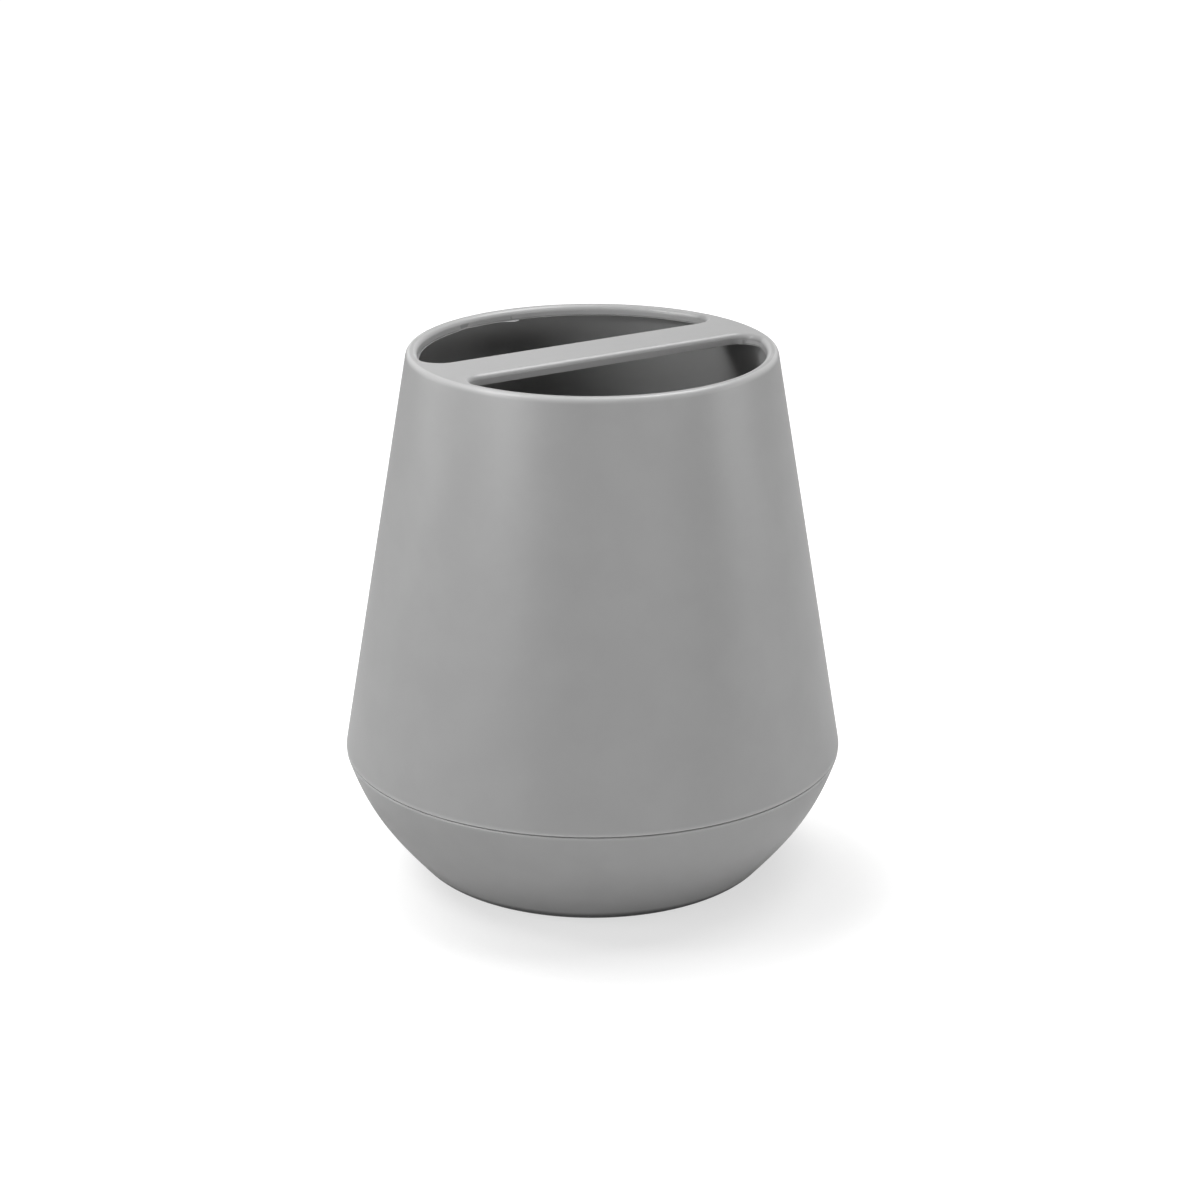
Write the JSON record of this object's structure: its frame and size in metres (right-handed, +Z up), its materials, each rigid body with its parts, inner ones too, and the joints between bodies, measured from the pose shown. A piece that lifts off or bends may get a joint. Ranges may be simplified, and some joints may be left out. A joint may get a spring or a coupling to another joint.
{
  "type": "toothbrush holder",
  "caption": "Round toothbrush holder: a tapered cover with two D-shaped openings either side of a flat bar, pushed onto a bowl-shaped base.",
  "frame": {"origin": "on the surface that the holder stands on, under the middle of the base", "axes": "+Z up along the axis of the cover and the base, +X along the bar across the top, +Y towards one of the two openings"},
  "size_m": [0.0998, 0.0998, 0.1068],
  "materials": {
    "cover_plastic": "neutral grey, fine matt moulded surface",
    "base_plastic": "neutral grey, fine matt moulded surface",
    "seal_rubber": "soft silicone, satin",
    "foot_rubber": "soft grip rubber, matt"
  },
  "bodies": {
    "base": {"base_bowl": "base_plastic", "foot_ring": "foot_rubber"},
    "seal": {"seal_ring": "seal_rubber"},
    "cover": {"upper_shell": "cover_plastic"}
  },
  "joints": [
    {"name": "cover_turn", "type": "hinge", "parent": "base", "child": "seal", "pos_m": [0, 0, 0.02825], "axis": [0, 0, 1], "continuous": true},
    {"name": "cover_lift", "type": "slide", "parent": "seal", "child": "cover", "axis": [0, 0, 1], "range_m": [0, 0.04]}
  ]
}
